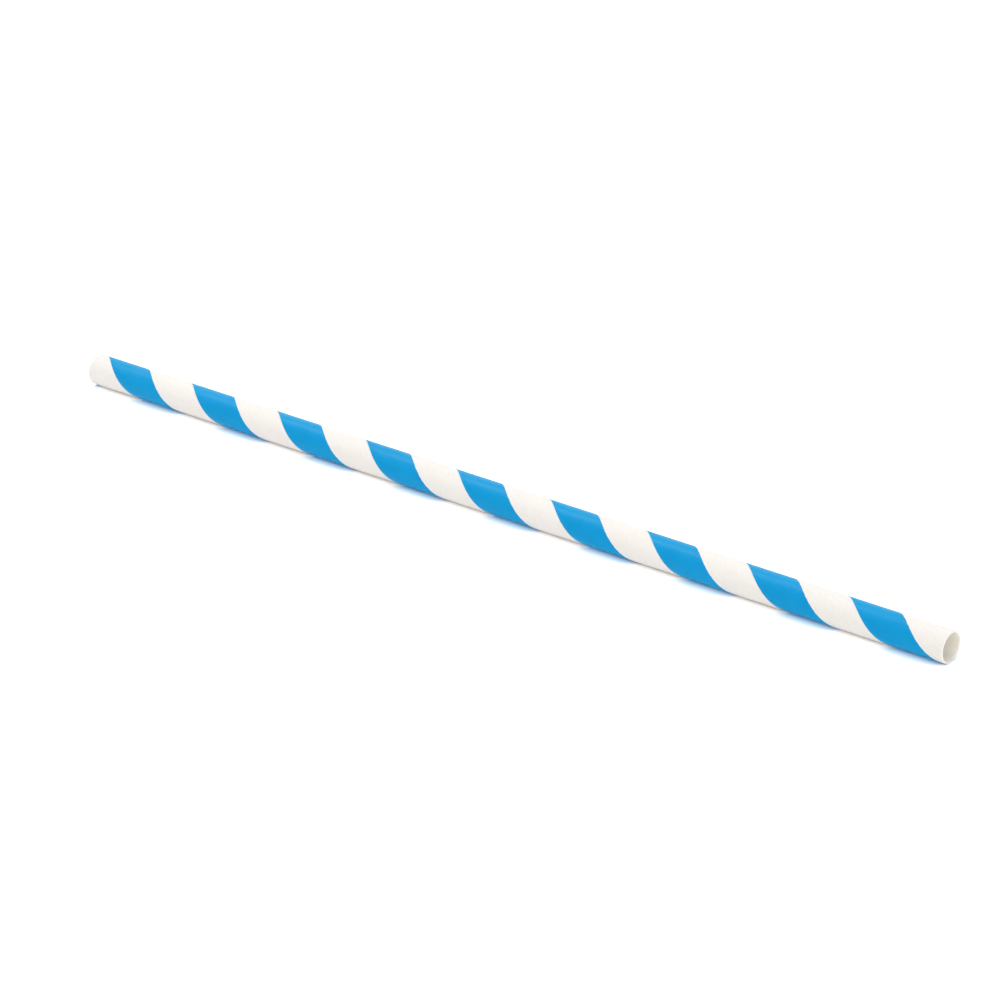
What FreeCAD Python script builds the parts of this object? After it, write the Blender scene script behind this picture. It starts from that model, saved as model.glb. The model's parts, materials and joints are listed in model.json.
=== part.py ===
import FreeCAD, Part
import math
import os
import Sketcher

# A paper drinking straw, lying on its side.
# Narrow paper tape is glued and wound as a right-hand screw round a steel rod, two plain layers and
# then a printed one, so the finished straw is a single stiff tube. The screw shows at two places: the
# edges of the printed tape butt together in a fine seam on the outside, and the edges of the innermost
# tape do the same in the bore. Both are real grooves here, one layer deep. Along the line it lies on, the
# paper is pressed a little flat, as it gets in a packed box, so the straw rests there and doesn't roll.
# Frame: +X runs along the straw, +Z is up, and the origin is on the surface that the straw lies on,
# below the middle of its length.

# Driving sizes in millimetres: alias, value, what it is.
SIZES = (
    ("straw_length", 197.0, "end to end"),
    ("outer_diameter", 6.0, "over the printed layer"),
    ("printed_layer", 0.08, "thickness of the outer layer of tape"),
    ("plain_layer", 0.15, "thickness of each layer of tape under it"),
    ("plain_layers", 2, "how many layers lie under the printed one"),
    ("tape_width", 14.0, "width of the printed tape, square to its edges"),
    ("seam_gap", 0.12, "gap between neighbouring edges of one tape"),
    ("first_seam", 2.8, "along the top, from the -X end to the outer seam"),
    ("bore_seam_lag", 9.0, "along the straw, from the outer seam to the seam in the bore"),
    ("edge_break", 0.05, "bevel that the knife leaves on the rims of the cut ends"),
    ("rest_flat", 0.05, "how far the paper is pressed in along the line the straw lies on"),
)


def make_sheet(doc):
    """The spreadsheet of driving sizes, one alias for each."""
    sheet = doc.addObject("Spreadsheet::Sheet", "sizes")
    for row, (alias, value, note) in enumerate(SIZES, start=1):
        sheet.set(f"A{row}", alias)
        sheet.set(f"B{row}", str(value))
        sheet.set(f"C{row}", note)
        sheet.setAlias(f"B{row}", alias)
    doc.recompute()
    return sheet


# Sizes that follow from the driving ones, as expressions.
OUTER_RADIUS = "sizes.outer_diameter / 2"
WALL = "(sizes.printed_layer + sizes.plain_layer * sizes.plain_layers)"
BORE_RADIUS = f"({OUTER_RADIUS} - {WALL})"
AXIS_HEIGHT = f"({OUTER_RADIUS} - sizes.rest_flat)"
# The printed tape covers the tube once: its width and one gap, laid at the winding angle, fill one
# turn at the middle of its thickness. That gives the advance along the straw for each turn.
TURN = f"({math.pi!r} * (sizes.outer_diameter - sizes.printed_layer))"
TAPE_STEP = "(sizes.tape_width + sizes.seam_gap)"
LEAD = f"({TAPE_STEP} / sqrt(1 - ({TAPE_STEP} / {TURN}) ^ 2))"
# Measured along the straw, the slanting gap is wider than it is square to the tape's edges.
SEAM_ALONG = f"(sizes.seam_gap * {LEAD} / {TAPE_STEP})"


def origin_feature(body, role):
    """One of the body's own origin planes or axes."""
    return next(f for f in body.Origin.OriginFeatures if f.Role == role)


def sketch_on(body, role, name):
    sketch = body.newObject("Sketcher::SketchObject", name)
    sketch.AttachmentSupport = (origin_feature(body, role), [""])
    sketch.MapMode = "FlatFace"
    return sketch


def bind(sketch, constraint, name, expression):
    """Adds a named dimension to the sketch and ties it to the sheet."""
    index = sketch.addConstraint(constraint)
    sketch.renameConstraint(index, name)
    sketch.setExpression(f"Constraints.{name}", expression)


def ring_sketch(body):
    """The straw's section: the outer circle and the bore, both centred on the axis. Each starts at a
    rough radius, which its dimension then sets."""
    sketch = sketch_on(body, "YZ_Plane", "wall_section")
    across = FreeCAD.Vector(0, 0, 1)
    for name, rough, expression in (("outer_radius", 3.0, OUTER_RADIUS), ("bore_radius", 2.0, BORE_RADIUS)):
        circle = sketch.addGeometry(Part.Circle(FreeCAD.Vector(), across, rough), False)
        sketch.addConstraint(Sketcher.Constraint("Coincident", circle, 3, -1, 1))
        bind(sketch, Sketcher.Constraint("Radius", circle, rough), name, expression)
    return sketch


def draw_rectangle(sketch, left, right, low, high):
    """Draws a rough rectangle, for dimensions to set, and gives its lower and its upper side."""
    corners = [(left, low), (right, low), (right, high), (left, high)]
    points = [FreeCAD.Vector(x, z, 0) for x, z in corners]
    sides = [
        sketch.addGeometry(Part.LineSegment(start, end), False)
        for start, end in zip(points, points[1:] + points[:1])
    ]
    for side, after in zip(sides, sides[1:] + sides[:1]):
        sketch.addConstraint(Sketcher.Constraint("Coincident", side, 2, after, 1))
    bottom, far, top, near = sides
    for side in (bottom, top):
        sketch.addConstraint(Sketcher.Constraint("Horizontal", side))
    for side in (far, near):
        sketch.addConstraint(Sketcher.Constraint("Vertical", side))
    return bottom, top


def rest_sketch(body):
    """The section of what is taken off underneath: a rectangle that reaches up to the rest flat."""
    sketch = sketch_on(body, "YZ_Plane", "rest_section")
    bottom, top = draw_rectangle(sketch, -3.0, 3.0, -4.0, -2.9)
    bind(sketch, Sketcher.Constraint("DistanceX", bottom, 1, -1, 1, 3.0), "near_side", OUTER_RADIUS)
    bind(sketch, Sketcher.Constraint("DistanceX", -1, 1, bottom, 2, 3.0), "far_side", OUTER_RADIUS)
    bind(sketch, Sketcher.Constraint("DistanceY", bottom, 1, -1, 1, 4.0), "below", f"2 * {OUTER_RADIUS}")
    bind(sketch, Sketcher.Constraint("DistanceY", top, 1, -1, 1, 2.9), "rest_height", AXIS_HEIGHT)
    return sketch


def groove_sketch(body, name, along, inner, outer):
    """A groove's section at the top of the straw: how far before the middle it starts, and the two
    radii that it reaches between."""
    sketch = sketch_on(body, "XZ_Plane", name)
    left, right, low, high = -100.0, -99.8, 2.0, 3.0
    bottom, top = draw_rectangle(sketch, left, right, low, high)
    bind(sketch, Sketcher.Constraint("DistanceX", bottom, 1, bottom, 2, right - left), "gap", SEAM_ALONG)
    bind(sketch, Sketcher.Constraint("DistanceX", bottom, 1, -1, 1, -left), "before_middle", along)
    bind(sketch, Sketcher.Constraint("DistanceY", -1, 1, bottom, 1, low), "inner_radius", inner)
    bind(sketch, Sketcher.Constraint("DistanceY", -1, 1, top, 1, high), "outer_radius", outer)
    return sketch


def cut_seam(body, name, along, inner, outer):
    """Cuts one seam: the groove's section wound round the axis from before one end to past the other."""
    sketch = groove_sketch(body, name + "_section", along, inner, outer)
    seam = body.newObject("PartDesign::SubtractiveHelix", name)
    seam.Profile = sketch
    seam.ReferenceAxis = (origin_feature(body, "X_Axis"), [""])
    seam.Mode = "pitch-height-angle"
    seam.LeftHanded = False
    # Each cylinder keeps the line where it closes on itself. Joined across that line, its face would
    # wind on from end to end of the straw, and nothing could be cut from it again.
    seam.Refine = False
    seam.setExpression("Pitch", LEAD)
    seam.setExpression("Height", f"sizes.straw_length + 2 * {LEAD}")
    return seam


def make_tube(doc):
    """The wound tube: a ring of wall as long as the straw, with its rims bevelled, its rest flat pressed
    underneath and both seams cut."""
    body = doc.addObject("PartDesign::Body", "paper_tube")
    body.Label = "paper_tube"

    tube = body.newObject("PartDesign::Pad", "tube")
    tube.Profile = ring_sketch(body)
    tube.setExpression("Length", "sizes.straw_length")
    tube.Midplane = True
    doc.recompute()

    ends = body.newObject("PartDesign::Chamfer", "cut_ends")
    ends.Base = (tube, [f"Edge{i}" for i, edge in enumerate(tube.Shape.Edges, start=1) if edge.Closed])
    ends.setExpression("Size", "sizes.edge_break")
    doc.recompute()

    rest = body.newObject("PartDesign::Pocket", "rest_flat")
    rest.Profile = rest_sketch(body)
    rest.setExpression("Length", f"sizes.straw_length + 2 * {OUTER_RADIUS}")
    rest.Midplane = True
    doc.recompute()

    # Each groove starts one turn before its first place on the straw, and runs clear of the paper.
    start = f"sizes.straw_length / 2 + {LEAD} - sizes.first_seam"
    clear = "sizes.printed_layer"
    cut_seam(body, "outer_seam", start, f"{OUTER_RADIUS} - sizes.printed_layer", f"{OUTER_RADIUS} + {clear}")
    doc.recompute()
    cut_seam(
        body,
        "bore_seam",
        f"{start} - sizes.bore_seam_lag",
        f"{BORE_RADIUS} - {clear}",
        f"{BORE_RADIUS} + sizes.plain_layer",
    )
    body.setExpression("Placement.Base.z", AXIS_HEIGHT)
    doc.recompute()
    return body


def check(doc, bodies):
    """Stops before anything is written if a feature failed or a shape isn't one sound solid."""
    for item in doc.Objects:
        if {"Invalid", "Error"} & set(item.State):
            raise RuntimeError(f"{item.Label} failed: {item.State}")
    for body in bodies:
        shape = body.Shape
        if shape.isNull() or not shape.isValid() or len(shape.Solids) != 1:
            raise RuntimeError(f"{body.Label} isn't one valid solid")
        box = shape.optimalBoundingBox()
        print(f"{body.Label}: {box.XLength:.3f} x {box.YLength:.3f} x {box.ZLength:.3f} mm,"
              f" lowest {box.ZMin:.4f}, {shape.Volume:.2f} mm3, {len(shape.Faces)} faces")


doc = FreeCAD.newDocument("paper_drinking_straw")
make_sheet(doc)
bodies = [make_tube(doc)]
check(doc, bodies)
os.makedirs("parts", exist_ok=True)
for body in bodies:
    body.Shape.exportStep(f"parts/{body.Label}.step")
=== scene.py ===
# %% [markdown]
# # A striped paper drinking straw
# The straw is one wound tube of paper. Its size and place come from the CAD frame, so the frame is
# loaded first. Everything after that is looks: a finer mesh that is wound the way the paper is, the
# finish of each kind of paper surface, and plain light, floor and camera.

# %% Load the frame
import json
import math

import bmesh
import bpy
import numpy as np
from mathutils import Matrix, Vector


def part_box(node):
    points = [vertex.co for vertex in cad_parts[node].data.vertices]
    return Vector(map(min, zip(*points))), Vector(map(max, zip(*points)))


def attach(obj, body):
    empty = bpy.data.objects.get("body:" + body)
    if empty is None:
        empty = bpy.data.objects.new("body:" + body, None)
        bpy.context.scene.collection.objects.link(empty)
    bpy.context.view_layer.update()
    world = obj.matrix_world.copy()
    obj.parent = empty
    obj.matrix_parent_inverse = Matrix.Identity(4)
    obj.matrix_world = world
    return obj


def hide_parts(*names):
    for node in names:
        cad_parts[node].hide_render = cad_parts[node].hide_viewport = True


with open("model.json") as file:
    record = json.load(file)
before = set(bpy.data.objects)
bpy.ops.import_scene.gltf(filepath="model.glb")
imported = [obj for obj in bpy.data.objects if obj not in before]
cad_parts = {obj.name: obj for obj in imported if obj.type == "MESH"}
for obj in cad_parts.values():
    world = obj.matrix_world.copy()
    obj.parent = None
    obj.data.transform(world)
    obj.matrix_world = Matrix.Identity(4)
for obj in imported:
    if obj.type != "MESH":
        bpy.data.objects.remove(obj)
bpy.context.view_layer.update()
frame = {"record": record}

MM = 0.001

# %% [markdown]
# ## Sizes
# The length, the outside and the height of the axis are read from the CAD solid, and the bore from the
# record's mount, so the looks always fit the part. The axis is a little lower than the radius, because
# the straw is pressed slightly flat underneath. The paper's own sizes are what a straw winder sets: the
# width of the tape, the gap that it leaves, and how thick each layer is.

# %% Sizes of the straw and of its paper
low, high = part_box("paper_tube")
LENGTH = high[0] - low[0]
RADIUS = (high[1] - low[1]) / 2
AXIS_HEIGHT = high[2] - RADIUS
TABLE_HEIGHT = low[2]
BORE = next(m["dims"]["r_mm"] for m in frame["record"]["mounts"] if m["name"] == "bore") * MM

PRINTED_LAYER = 0.08 * MM   # the outer tape's thickness
PLAIN_LAYER = 0.15 * MM     # each plain tape's thickness
TAPE_WIDTH = 14.0 * MM
SEAM_GAP = 0.12 * MM
FIRST_SEAM = 2.8 * MM       # along the top, from the -X end to the outer seam
BORE_SEAM_LAG = 9.0 * MM    # from the outer seam to the seam in the bore
EDGE_BREAK = 0.05 * MM      # how much the knife breaks the corner of a cut end

# One tape width and one gap, laid at the winding angle, fill one turn at the middle of the printed
# layer. LEAD is how far a turn goes along the straw, and SEAM_ALONG how wide the slanting gap is there.
TAPE_STEP = TAPE_WIDTH + SEAM_GAP
AROUND = math.pi * (2 * RADIUS - PRINTED_LAYER)
LEAD = TAPE_STEP / math.sqrt(1 - (TAPE_STEP / AROUND) ** 2)
SEAM_ALONG = SEAM_GAP * LEAD / TAPE_STEP
print(f"straw {LENGTH / MM:.1f} x {2 * RADIUS / MM:.2f} mm, bore {2 * BORE / MM:.2f} mm,"
      f" one turn every {LEAD / MM:.2f} mm")

# %% [markdown]
# ## Winding the tube
# A real straw is tape wound as a screw round a steel rod. A cylinder primitive would have its faces
# running round and along, so every stripe and seam would cut across them. Here a short line, one turn
# long, is drawn point by point, as with the extrude key, and the Screw modifier winds it. The faces
# then follow the tape, the seam is a real step in the mesh, and the stripe's edge is an edge of faces.

# %% Helpers for drawing a line and winding it
STEPS = 96                  # faces round the straw
TURNS = math.ceil((LENGTH - FIRST_SEAM) / LEAD) + 3
WELD = 0.002 * MM           # vertices closer than this become one


def draw_line(name, points):
    """A line through (along, radius) points: a small plane, merged to one vertex, which is then
    extruded from place to place."""
    bpy.ops.object.select_all(action="DESELECT")
    bpy.ops.mesh.primitive_plane_add(size=PRINTED_LAYER, location=(0, 0, AXIS_HEIGHT))
    line = bpy.context.object
    line.name = name
    bpy.ops.object.mode_set(mode="EDIT")
    bpy.ops.mesh.merge(type="CENTER")
    (x, r), *others = points
    bpy.ops.transform.translate(value=(x, 0, r))
    for next_x, next_r in others:
        step = (next_x - x, 0, next_r - r)
        bpy.ops.mesh.extrude_vertices_move(TRANSFORM_OT_translate={"value": step})
        x, r = next_x, next_r
    bpy.ops.object.mode_set(mode="OBJECT")
    return line


def wind(line):
    """Winds the line round the straw's axis, one lead to the turn, and welds each turn to the next."""
    screw = line.modifiers.new("winding", "SCREW")
    screw.axis = "X"
    screw.angle = math.tau
    screw.screw_offset = LEAD
    screw.iterations = TURNS
    screw.steps = screw.render_steps = STEPS
    bpy.ops.object.modifier_apply(modifier=screw.name)
    bpy.ops.object.mode_set(mode="EDIT")
    bpy.ops.mesh.select_all(action="SELECT")
    bpy.ops.mesh.remove_doubles(threshold=WELD)
    bpy.ops.object.mode_set(mode="OBJECT")
    print(line.name, len(line.data.polygons), "faces wound")
    return line


print(f"{TURNS} turns of {STEPS} steps will reach past both ends")

# %% [markdown]
# ### The outside
# Its line starts in the seam: along the gap's floor, which is the plain layer beneath, up the edge of
# the printed tape, and over its width to the next gap. Knife-cut paper has no sharp corner once it is
# glued down, so both edges are rounded. The joint in the layer beneath shows through as a dip that is
# only a hundredth of a millimetre deep.

# %% The outside, from seam to seam
START = -LENGTH / 2 + FIRST_SEAM - 2 * LEAD
OUTER_FACE = 1.2 * MM       # about how long a face of the outside is, along the straw
PRESSED = 0.03 * MM         # radius of the tape's rolled-down edges
STRIPE = 0.5                # share of the tape that is blue
JOINT_AT = 0.62             # where the joint beneath lies, as a share of the tape
JOINT_WIDTH, JOINT_DEPTH = 0.9 * MM, 0.01 * MM


def rounded_edge(x, side):
    """Points over a tape's edge: side is 1 where the tape begins and -1 where it ends."""
    turns = [math.radians(a) for a in (0, 30, 60, 90)]
    points = [(x + side * PRESSED * (1 - math.cos(a)), RADIUS - PRESSED * (1 - math.sin(a)))
              for a in turns]
    return points[::side]


def spaced(first, last, step):
    """Places from first to last, both left out, about a step apart."""
    count = max(round((last - first) / step), 1)
    return [first + (last - first) * i / count for i in range(1, count)]


def outside_points():
    """The outside's line over one turn, as (along, radius)."""
    floor = RADIUS - PRINTED_LAYER
    opening, closing = START + SEAM_ALONG, START + LEAD
    stripe_end = START + LEAD * STRIPE
    joint = START + JOINT_AT * LEAD
    dip = [(joint + JOINT_WIDTH * k / 4, RADIUS - JOINT_DEPTH * math.cos(math.pi * k / 4) ** 2)
           for k in (-2, -1, 0, 1, 2)]
    points = [(START, floor), (opening, floor)] + rounded_edge(opening, 1)
    points += [(x, RADIUS) for x in spaced(points[-1][0], stripe_end, OUTER_FACE)]
    points += [(stripe_end, RADIUS)]
    points += [(x, RADIUS) for x in spaced(stripe_end, dip[0][0], OUTER_FACE)]
    points += dip
    points += [(x, RADIUS) for x in spaced(dip[-1][0], closing - PRESSED, OUTER_FACE)]
    return points + rounded_edge(closing, -1) + [(closing, floor)]


outside = wind(draw_line("straw", outside_points()))

# %% [markdown]
# ### The bore
# It is wound the same way. Its seam is a groove that opens inwards, as deep as the innermost layer, and
# it lags behind the outer one, because each layer is laid to cover the joint below it. Little of the
# bore can be seen, so its faces are longer.

# %% The bore, from seam to seam
BORE_FACE = 1.8 * MM        # about how long a face of the bore is, along the straw


def bore_points():
    """The bore's line over one turn, as (along, radius). It starts clear of the straw's end."""
    start = START + BORE_SEAM_LAG
    if start + LEAD > -LENGTH / 2:
        start -= LEAD
    floor = BORE + PLAIN_LAYER
    points = [(start, floor), (start + SEAM_ALONG, floor), (start + SEAM_ALONG, BORE)]
    points += [(x, BORE) for x in spaced(start + SEAM_ALONG, start + LEAD, BORE_FACE)]
    return points + [(start + LEAD, BORE), (start + LEAD, floor)]


bore = wind(draw_line("bore", bore_points()))

# %% [markdown]
# ## Cutting the ends
# The winder makes one endless tube and a knife cuts it into straws. The two wound skins are joined into
# one object and cut off square at both ends with Bisect. The knife tool would do the same by hand, but
# it needs a window. The cut is made short of the end by the width of the broken corner, which comes
# next.

# %% Cut both skins to length
REACH = LENGTH / 2 - EDGE_BREAK
bpy.ops.object.select_all(action="DESELECT")
outside.select_set(True)
bore.select_set(True)
bpy.context.view_layer.objects.active = outside
bpy.ops.object.join()
straw = bpy.context.object
bpy.ops.object.transform_apply(location=True, rotation=True, scale=True)
bpy.ops.object.mode_set(mode="EDIT")
for side in (-1, 1):
    bpy.ops.mesh.select_all(action="SELECT")
    bpy.ops.mesh.bisect(plane_co=(side * REACH, 0, 0), plane_no=(side, 0, 0), clear_outer=True,
                        threshold=WELD / 10)
bpy.ops.mesh.select_all(action="SELECT")
bpy.ops.mesh.remove_doubles(threshold=WELD)
bpy.ops.object.mode_set(mode="OBJECT")
print("cut to", [round(v / MM, 3) for v in (min(v.co.x for v in straw.data.vertices),
                                            max(v.co.x for v in straw.data.vertices))])

# %% [markdown]
# ### The cut rims
# A cut end shows the wall's three layers as rings, with a fine crease where one is glued to the next,
# and its corners are a little rounded by the knife. Filling the rim with one face would leave it flat
# and bare. So each open rim is extruded ring by ring, from the outside and from the bore towards the
# middle layer, and Bridge Edge Loops closes what is left between them.

# %% Close each rim, ring by ring
CREASE = 0.015 * MM         # half the width of the line between two layers
CREASE_DEPTH = 0.02 * MM
MIDDLE = (RADIUS + BORE) / 2
CORNER = 0.3 * EDGE_BREAK   # how far the first ring round a corner goes
FIRST_JOINT, SECOND_JOINT = RADIUS - PRINTED_LAYER, BORE + PLAIN_LAYER

# Each ring's radius, and how far it lies inside the cut end.
OUTER_RINGS = (
    (RADIUS - CORNER, CORNER),
    (RADIUS - EDGE_BREAK, 0),
    (FIRST_JOINT + CREASE, 0),
    (FIRST_JOINT, CREASE_DEPTH),
    (FIRST_JOINT - CREASE, 0),
    (SECOND_JOINT + CREASE, 0),
)
INNER_RINGS = (
    (BORE + CORNER, CORNER),
    (BORE + EDGE_BREAK, 0),
    (SECOND_JOINT - CREASE, 0),
    (SECOND_JOINT, CREASE_DEPTH),
)


def radius_at(point):
    """How far a point is from the straw's axis."""
    return math.hypot(point.y, point.z - AXIS_HEIGHT)


def select_rim(mesh, side, outer):
    """Selects the open edges at one end of the outside or of the bore."""
    bpy.ops.mesh.select_all(action="DESELECT")
    for edge in mesh.edges:
        if edge.is_boundary and all(side * v.co.x > 0 for v in edge.verts):
            edge.select_set((radius_at(edge.verts[0].co) > MIDDLE) == outer)
    mesh.select_flush_mode()


def add_ring(side, outer, limit, inset):
    """Extrudes an open rim into a new ring of radius limit, inset from the cut end. Where the rim
    crosses a seam its floor is already past the limit, so it keeps its depth and only goes endwards."""
    select_rim(bmesh.from_edit_mesh(straw.data), side, outer)
    bpy.ops.mesh.extrude_edges_move()
    mesh = bmesh.from_edit_mesh(straw.data)
    for v in (v for v in mesh.verts if v.select):
        now = radius_at(v.co)
        along, scale = LENGTH / 2 - inset, limit / now
        past_limit = now < limit + WELD if outer else now > limit - WELD
        if past_limit:
            along, scale = max(along, abs(v.co.x)), 1
        v.co = (side * along, v.co.y * scale, AXIS_HEIGHT + (v.co.z - AXIS_HEIGHT) * scale)
    bmesh.update_edit_mesh(straw.data)


def bridge_rims(side):
    """Closes one end between the last ring from the outside and the last one from the bore."""
    mesh = bmesh.from_edit_mesh(straw.data)
    bpy.ops.mesh.select_all(action="DESELECT")
    for edge in mesh.edges:
        edge.select_set(edge.is_boundary and all(side * v.co.x > 0 for v in edge.verts))
    mesh.select_flush_mode()
    bpy.ops.mesh.bridge_edge_loops()


bpy.ops.object.mode_set(mode="EDIT")
bpy.ops.mesh.select_mode(type="EDGE")
for side in (-1, 1):
    for outer, rings in ((True, OUTER_RINGS), (False, INNER_RINGS)):
        for limit, inset in rings:
            add_ring(side, outer, limit, inset)
    bridge_rims(side)
bpy.ops.mesh.select_mode(type="VERT")
bpy.ops.mesh.select_all(action="SELECT")
bpy.ops.mesh.remove_doubles(threshold=WELD)
bpy.ops.mesh.normals_make_consistent(inside=False)
bpy.ops.object.mode_set(mode="OBJECT")

check = bmesh.new()
check.from_mesh(straw.data)
print("open or shared edges:", sum(not e.is_manifold for e in check.edges),
      "volume in mm3:", round(check.calc_volume(signed=True) / MM ** 3, 1))
check.free()

# %% [markdown]
# ## Where it lies
# Straws lie packed in a box, and each ends up a little flat along one line. Here everything that would
# be below the table is set level with it, which gives a flat a millimetre wide and less deep than a hair
# is thick. A Boolean cut would give the same flat, but it would break up the faces along the tape.

# %% Press the underside level with the table
pressed = [v for v in straw.data.vertices if v.co.z < TABLE_HEIGHT]
for v in pressed:
    v.co.z = TABLE_HEIGHT
print(len(pressed), "vertices pressed level")

# %% [markdown]
# ## The tape's own map
# Print and paper grain follow the tape, so the material needs to know where each point lies on it. A
# UV map called tape holds that: U runs along the tape and V across it, from the seam at 0 to the next
# seam at 1, both counted in tape widths. It is the flat tape as it was printed, before winding. The
# same sum could be done with nodes from the object's coordinates, but a map can be looked at in the UV
# editor.

# %% Unwind the surface onto the tape
def read_vectors(items, count, name):
    """One vector attribute of all the items, as rows of an array."""
    values = np.empty(count * 3)
    items.foreach_get(name, values)
    return values.reshape(-1, 3)


def turns_at(points):
    """How far round the straw each point is from the top, in turns."""
    return np.arctan2(-points[:, 1], points[:, 2] - AXIS_HEIGHT) / math.tau


def unwind(mesh):
    """Gives the mesh its tape map, in place of the maps that its first planes came with."""
    place = read_vectors(mesh.vertices, len(mesh.vertices), "co")
    centre = read_vectors(mesh.polygons, len(mesh.polygons), "center")
    corner = np.empty(len(mesh.loops), int)
    mesh.loops.foreach_get("vertex_index", corner)
    face = np.repeat(np.arange(len(mesh.polygons)), [p.loop_total for p in mesh.polygons])

    # A face's corners are counted in the same turn and the same lap of tape as its middle.
    here = turns_at(centre)
    lap = np.floor((centre[:, 0] + LENGTH / 2 - FIRST_SEAM) / LEAD - here)
    turn = turns_at(place[corner])
    turn += np.round(here[face] - turn)
    across = (place[corner, 0] + LENGTH / 2 - FIRST_SEAM) / LEAD - turn - lap[face]
    # The tape leans: a point further across it along the straw is also further on along the tape.
    wound = (turn + lap[face]) * math.hypot(AROUND, LEAD) / TAPE_STEP + across * LEAD / AROUND

    for layer in list(mesh.uv_layers):
        mesh.uv_layers.remove(layer)
    tape = mesh.uv_layers.new(name="tape")
    tape.data.foreach_set("uv", np.column_stack([wound, across]).astype(np.float32).ravel())
    print(f"tape map: {wound.max() - wound.min():.1f} tape widths long")


unwind(straw.data)

# %% [markdown]
# ## Materials
# The straw is all one stuff, white bleached paper, but it shows three surfaces. The outside is
# calendered smooth and printed with a blue ink that soaks in, so it has a soft sheen and no gloss. The
# bore is the plain side of the inner tape, rougher and warmer, with some glue in it. The cut rims show
# torn fibres. Each is a Principled shader with its own fine pattern. Paper is mostly cellulose, with an
# IOR of about 1.5, and it lets a little light through, which subsurface scattering gives: the wall
# glows faintly from inside, and shadows on it stay soft.

# %% Helpers for materials
PAPER_IOR = 1.5

# How far light goes in each paper before a fibre turns it. The printed one is pressed denser.
PRINTED_DEPTH, PLAIN_DEPTH = 0.1 * MM, 0.6 * MM


def srgb(code):
    """An sRGB hex colour as linear RGBA."""
    parts = [int(code[i:i + 2], 16) / 255 for i in (0, 2, 4)]
    return [c / 12.92 if c <= 0.04045 else ((c + 0.055) / 1.055) ** 2.4 for c in parts] + [1.0]


def add(tree, kind, settings=(), **inputs):
    """Adds a node. Settings are its options, and inputs are its sockets, as values or as links. A
    socket is given by name, as From_Min, or by number, as _0, where names occur twice: on a Mix node
    0 is the factor, 2 and 3 are its two numbers, and 6 and 7 its two colours."""
    node = tree.nodes.new(kind)
    for key, value in dict(settings).items():
        setattr(node, key, value)
    for key, value in inputs.items():
        name = key.replace("_", " ").strip()
        socket = node.inputs[int(name) if name.isdigit() else name]
        if isinstance(value, bpy.types.NodeSocket):
            tree.links.new(value, socket)
        else:
            socket.default_value = value
    return node


def new_material(name):
    """A material with a lone Principled shader, its node tree, and that shader."""
    material = bpy.data.materials.new(name)
    material.use_nodes = True
    return material, material.node_tree, material.node_tree.nodes["Principled BSDF"]


def make_paper(shader, depth):
    """What all the paper has in common: its IOR, and light that goes that deep into it."""
    shader.inputs["IOR"].default_value = PAPER_IOR
    shader.inputs["Subsurface Weight"].default_value = 1.0
    shader.inputs["Subsurface Radius"].default_value = (1.0, 1.0, 1.0)
    shader.inputs["Subsurface Scale"].default_value = depth


print("light goes", PRINTED_DEPTH / MM, "mm into printed paper and", PLAIN_DEPTH / MM, "mm into plain")

# %% [markdown]
# ### Printed paper
# The ink lies in one band, half the tape wide, that starts at the tape's edge, so wound up it makes a
# blue and a white stripe to each turn. A flexographic plate leaves a clean edge, but the ink follows
# the fibres a little, and the solid area is faintly cloudy. Paper fibres lie along the tape, because
# the web runs that way through the paper machine, so the grain is stretched along U. Real fibres are
# 1 to 2 mm long and only about 0.03 mm wide, too fine to show, so they are drawn 0.22 mm wide. The ink
# fills the pores, so it is smoother than the bare paper. On both, the ends of fibres break up most of
# what would be a mirror reflection, so the specular level is low. The print could be an image, but a
# few nodes give the same band at any closeness.

# %% The printed outside
TAPE_MM = TAPE_STEP / MM
INK, INK_THIN = "009ED8", "0AA8E0"
PAPER, PAPER_SHADE = "F8F3EE", "F1EBE5"

# Sizes of each pattern along and across the tape, in millimetres.
FIBRE_GRAIN = 1.4, 0.22
CLOUD_GRAIN = 4.0, 3.0
EDGE_GRAIN = 0.9, 0.5
EDGE_WANDER = 0.05          # how far the stripe's edge follows the fibres
EDGE_BLEED = 0.03           # how far the ink fades out on each side of that edge
RELIEF = 0.02               # how far the fibres stand up

NOISE_LOW, NOISE_HIGH = 0.3, 0.7    # most of a noise pattern lies between these
CLOUDED, FIBRED = 0.35, 0.3         # how much thinner the ink can be in the clouds and on the fibres
GREYED = 0.8                        # how much of the shade shows between the fibres
ROUGH_PAPER, ROUGH_INK = (0.58, 0.7), (0.28, 0.36)
SHEEN = 0.12


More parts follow.
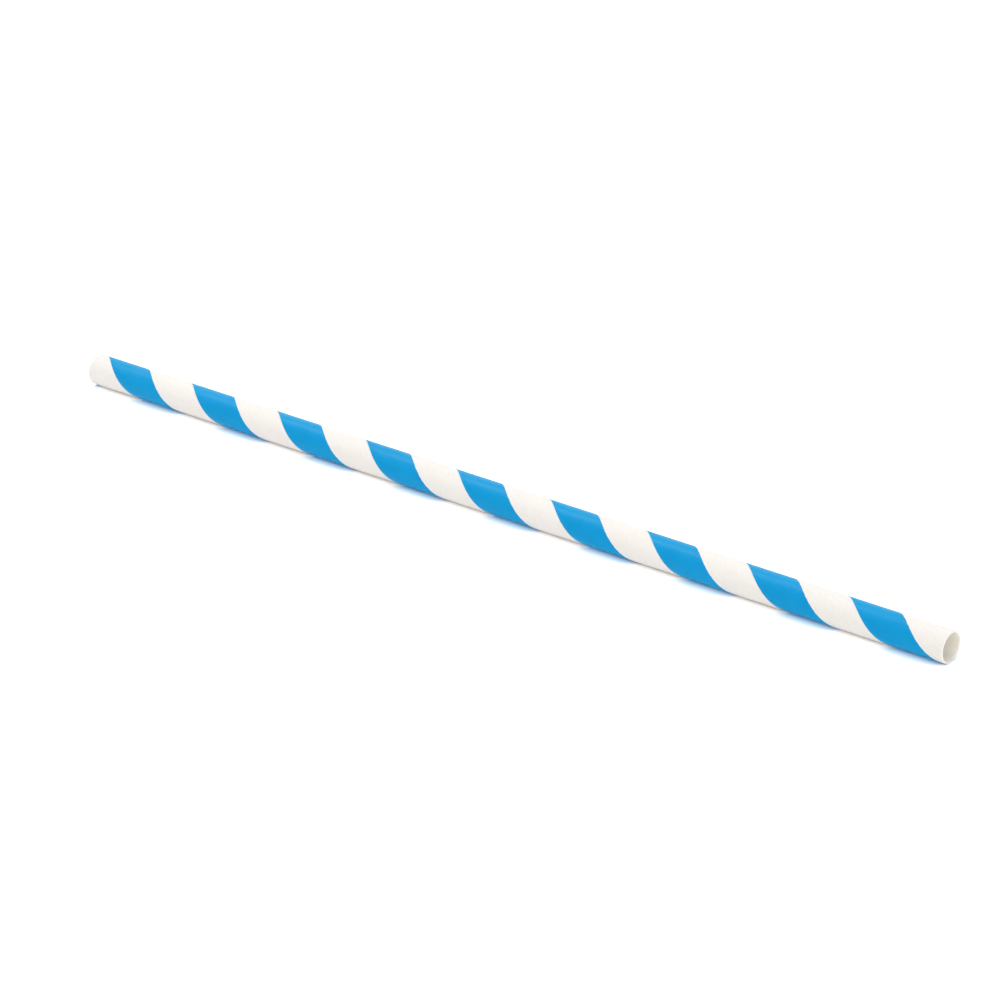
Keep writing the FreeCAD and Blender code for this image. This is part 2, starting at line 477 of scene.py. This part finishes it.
def printed_paper():
    """The outside's material, drawn on the tape's map."""
    material, tree, shader = new_material("uncoated paper, flexo printed")
    tape = add(tree, "ShaderNodeUVMap", {"uv_map": "tape"}).outputs["UV"]
    in_mm = add(tree, "ShaderNodeVectorMath", {"operation": "MULTIPLY"}, _0=tape,
                _1=(TAPE_MM, TAPE_MM, 0)).outputs[0]

    def clouds(grain, detail, roughness=0.5):
        """Soft clouds on the tape, as long and as wide as the grain says."""
        along, across = grain
        stretched = add(tree, "ShaderNodeVectorMath", {"operation": "MULTIPLY"}, _0=in_mm,
                        _1=(1 / along, 1 / across, 0)).outputs[0]
        return add(tree, "ShaderNodeTexNoise", {"noise_dimensions": "2D"}, Vector=stretched, Scale=1.0,
                   Detail=detail, Roughness=roughness).outputs["Fac"]

    fibre = clouds(FIBRE_GRAIN, 3.0)
    cloud = clouds(CLOUD_GRAIN, 2.0)
    fray = clouds(EDGE_GRAIN, 3.0, 0.6)

    # How far a point lies across the tape, with the stripe's edge wandering with the fibres.
    across = add(tree, "ShaderNodeSeparateXYZ", Vector=in_mm).outputs["Y"]
    wander = add(tree, "ShaderNodeMapRange", Value=fray, From_Min=0.25, From_Max=0.75,
                 To_Min=-EDGE_WANDER, To_Max=EDGE_WANDER).outputs["Result"]
    edge = add(tree, "ShaderNodeMath", {"operation": "ADD"}, _0=across, _1=wander).outputs[0]
    inked = add(tree, "ShaderNodeMapRange", Value=edge, From_Min=STRIPE * TAPE_MM - EDGE_BLEED,
                From_Max=STRIPE * TAPE_MM + EDGE_BLEED, To_Min=1.0, To_Max=0.0).outputs["Result"]

    # The ink is thinner in the clouds and where fibres stand up through it.
    thin = add(tree, "ShaderNodeMapRange", Value=cloud, From_Min=0.35, From_Max=NOISE_HIGH,
               To_Max=CLOUDED).outputs["Result"]
    ink = add(tree, "ShaderNodeMix", {"data_type": "RGBA"}, _0=thin, _6=srgb(INK),
              _7=srgb(INK_THIN)).outputs[2]
    bare = add(tree, "ShaderNodeMapRange", Value=fibre, From_Min=0.35, From_Max=0.8,
               To_Max=FIBRED).outputs["Result"]
    ink = add(tree, "ShaderNodeMix", {"data_type": "RGBA"}, _0=bare, _6=ink,
              _7=srgb(INK_THIN)).outputs[2]

    # The unprinted paper is a little greyer between its fibres.
    between = add(tree, "ShaderNodeMapRange", Value=fibre, From_Min=NOISE_LOW, From_Max=0.75,
                  To_Min=GREYED, To_Max=0.0).outputs["Result"]
    paper = add(tree, "ShaderNodeMix", {"data_type": "RGBA"}, _0=between, _6=srgb(PAPER),
                _7=srgb(PAPER_SHADE)).outputs[2]
    colour = add(tree, "ShaderNodeMix", {"data_type": "RGBA"}, _0=inked, _6=paper, _7=ink).outputs[2]

    # Fibre ends make each surface rougher, and the ink is the smoother of the two.
    roughness = [
        add(tree, "ShaderNodeMapRange", Value=fibre, From_Min=NOISE_LOW, From_Max=NOISE_HIGH,
            To_Min=least, To_Max=most).outputs["Result"]
        for least, most in (ROUGH_PAPER, ROUGH_INK)
    ]
    rough = add(tree, "ShaderNodeMix", {"data_type": "FLOAT"}, _0=inked, _2=roughness[0],
                _3=roughness[1]).outputs[0]
    bump = add(tree, "ShaderNodeBump", Strength=0.35, Distance=RELIEF * MM, Height=fibre).outputs[0]
    tree.links.new(colour, shader.inputs["Base Color"])
    tree.links.new(rough, shader.inputs["Roughness"])
    tree.links.new(bump, shader.inputs["Normal"])
    shader.inputs["Specular IOR Level"].default_value = SHEEN
    make_paper(shader, PRINTED_DEPTH)
    return material


straw.data.materials.append(printed_paper())
print(f"a stripe {STRIPE * TAPE_MM:.2f} mm wide, every {TAPE_MM:.2f} mm across the tape")

# %% [markdown]
# ### Plain and cut paper
# The bore and the rims have no print, so their patterns can sit on the object's own coordinates. The
# bore's paper is a little creamier from the glue. The cut rim is rough: a knife pulls the fibres. Both
# grains are drawn coarser than real fibres, which would be too fine to show.

# %% The plain bore and the cut rims
def plain_paper(name, light, dark, grain, roughness):
    """White paper with a soft grain of the given size in millimetres, between two colours."""
    material, tree, shader = new_material(name)
    place = add(tree, "ShaderNodeTexCoord").outputs["Object"]
    fibre = add(tree, "ShaderNodeTexNoise", Vector=place, Scale=1 / (grain * MM), Detail=4.0,
                Roughness=0.6).outputs["Fac"]
    shade = add(tree, "ShaderNodeMapRange", Value=fibre, From_Min=NOISE_LOW,
                From_Max=NOISE_HIGH).outputs["Result"]
    colour = add(tree, "ShaderNodeMix", {"data_type": "RGBA"}, _0=shade, _6=srgb(dark),
                 _7=srgb(light)).outputs[2]
    bump = add(tree, "ShaderNodeBump", Strength=0.5, Distance=RELIEF * MM, Height=fibre).outputs[0]
    tree.links.new(colour, shader.inputs["Base Color"])
    tree.links.new(bump, shader.inputs["Normal"])
    shader.inputs["Roughness"].default_value = roughness
    make_paper(shader, PLAIN_DEPTH)
    return material


inner_side = plain_paper("plain inner paper", light="FFF6EC", dark="FBF0E3", grain=0.5, roughness=0.8)
cut_edge = plain_paper("knife-cut paper edge", light="F9F6EF", dark="EAE4D9", grain=0.12,
                       roughness=0.85)
straw.data.materials.append(inner_side)
straw.data.materials.append(cut_edge)
print("materials:", [material.name for material in straw.data.materials])

# %% [markdown]
# ### Which face is which
# A face's place tells what it is: the faces past the cut are the rim, those out at the full radius are
# print, and those at the bore's radius are plain paper. What is left, in the seams, is the cut edge of
# a tape and the layer below it, and looks like the rims. The faces could be picked by hand in edit mode
# and given their slot there, but by place it takes one loop.

# %% Give each face its surface
OUTSIDE, INSIDE, CUT = range(3)
counts = [0, 0, 0]
for face in straw.data.polygons:
    r = radius_at(face.center)
    if abs(face.center.x) > REACH:
        face.material_index = CUT
    elif r > RADIUS - PRESSED:
        face.material_index = OUTSIDE
    elif r < BORE + PRESSED:
        face.material_index = INSIDE
    else:
        face.material_index = CUT
    counts[face.material_index] += 1
print("faces outside, inside, cut:", counts)

# %% [markdown]
# ## Finish the piece
# Faces that meet at less than 35 degrees are shaded as one smooth surface, so the tube looks round and
# the seam and rims stay crisp, with no need for more faces. The piece then takes the CAD node's place
# and rides on its body.

# %% Shade, name and place the straw
SMOOTH_BELOW = math.radians(35)
bpy.ops.object.select_all(action="DESELECT")
straw.select_set(True)
bpy.context.view_layer.objects.active = straw
bpy.ops.object.shade_smooth_by_angle(angle=SMOOTH_BELOW)
straw.name = straw.data.name = "striped_straw"
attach(straw, "root")
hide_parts("paper_tube")
print("triangles:", sum(len(p.vertices) - 2 for p in straw.data.polygons))

# %% [markdown]
# ## Floor and surroundings
# The photo is high-key: a white table and white all round. The floor is a plain white sheet. For the
# camera alone it is brighter than white, so that it burns out to a clean white round the straw, and
# only the deep shadow right under it still shows. The same is done for the world. More light would also
# give a white floor, but it would burn out the straw as well.

# %% White floor and surroundings
FLOOR_SIZE = 6.0
FLOOR_TONE, FLOOR_SEEN = 0.95, 1.4  # as light meets it, and as the camera sees it
SKY = 0.76                          # how strongly the white room lights the straw
WHITE = 1.0


def by_ray(tree, plain, mirrored, seen):
    """One value for light itself, one in mirrors and through clear things, and one for the camera."""
    ray = add(tree, "ShaderNodeLightPath").outputs
    mirror = add(tree, "ShaderNodeMath", {"operation": "MAXIMUM"}, _0=ray["Is Glossy Ray"],
                 _1=ray["Is Transmission Ray"]).outputs[0]
    unseen = add(tree, "ShaderNodeMix", {"data_type": "FLOAT"}, _0=mirror, _2=plain,
                 _3=mirrored).outputs[0]
    return add(tree, "ShaderNodeMix", {"data_type": "FLOAT"}, _0=ray["Is Camera Ray"], _2=unseen,
               _3=seen).outputs[0]


bpy.ops.object.select_all(action="DESELECT")
bpy.ops.mesh.primitive_plane_add(size=FLOOR_SIZE, location=(0, 0, 0))
floor = bpy.context.object
floor.name = "white_floor"
material, tree, shader = new_material("white table top")
tone = by_ray(tree, FLOOR_TONE, WHITE, FLOOR_SEEN)
grey = add(tree, "ShaderNodeCombineColor", Red=tone, Green=tone, Blue=tone).outputs[0]
matt = add(tree, "ShaderNodeBsdfDiffuse", Color=grey).outputs[0]
tree.links.new(matt, tree.nodes["Material Output"].inputs["Surface"])
floor.data.materials.append(material)

world = bpy.data.worlds.new("white room")
world.use_nodes = True
bpy.context.scene.world = world
background = world.node_tree.nodes["Background"]
background.inputs["Color"].default_value = srgb("FFFFFF")
world.node_tree.links.new(by_ray(world.node_tree, SKY, WHITE, WHITE), background.inputs["Strength"])
print("floor seen at", FLOOR_SEEN, "and sky lighting at", SKY)

# %% [markdown]
# ## Lamps
# Most of the light is the white room itself. A large soft box overhead gives the shadow under the straw,
# a smaller one past the far end draws the soft streak of sheen along the top of the blue, and a weak one
# on the near end's side shines a little into the bore. A picture of a studio could light it all at
# once, but three boxes can be moved one by one.

# %% Three soft boxes
def add_lamp(name, place, size, power):
    """A square soft box that faces the straw: its place and size in metres, its power in watts."""
    bpy.ops.object.light_add(type="AREA", location=place)
    lamp = bpy.context.object
    lamp.name = name
    lamp.data.size = size
    lamp.data.energy = power
    lamp.rotation_euler = (-Vector(place)).to_track_quat("-Z", "Y").to_euler()
    print(name, "at", place, "gives", power, "W")


add_lamp("ceiling_box", (0, 0, 1.5), 2.0, 6.0)
add_lamp("highlight_box", (-0.61, 0.08, 0.905), 0.35, 1.8)
add_lamp("fill_box", (0.85, -0.42, 0.36), 0.6, 1.1)

# %% [markdown]
# ## Camera
# It stands where the photo was taken from, as a fit to the straw's outline and stripes found: how far
# away in metres, how far round towards the near end, and how high. It could be placed by eye, but a
# straw's stripes are so even that a small turn of the camera shows. Its lens is longer than the
# photo's, so that the straw fills the picture and keeps its perspective.

# %% Camera at the photo's place
CAMERA_AWAY, CAMERA_ROUND, CAMERA_UP = 0.791, math.radians(37.85), math.radians(25.1)
LENS = 155.0                # in millimetres
AIM_ALONG = 0.001           # a millimetre past the middle, which centres the straw in the picture

direction = Vector((math.sin(CAMERA_ROUND) * math.cos(CAMERA_UP),
                    -math.cos(CAMERA_ROUND) * math.cos(CAMERA_UP),
                    math.sin(CAMERA_UP)))
stand = CAMERA_AWAY * direction
view = Vector((AIM_ALONG, 0, AXIS_HEIGHT)) - stand
bpy.ops.object.camera_add(location=stand, rotation=view.to_track_quat("-Z", "Y").to_euler())
camera = bpy.context.object
camera.data.lens = LENS
bpy.context.scene.camera = camera
bpy.context.scene.view_settings.view_transform = "Standard"
print("camera at", [round(c, 3) for c in stand])
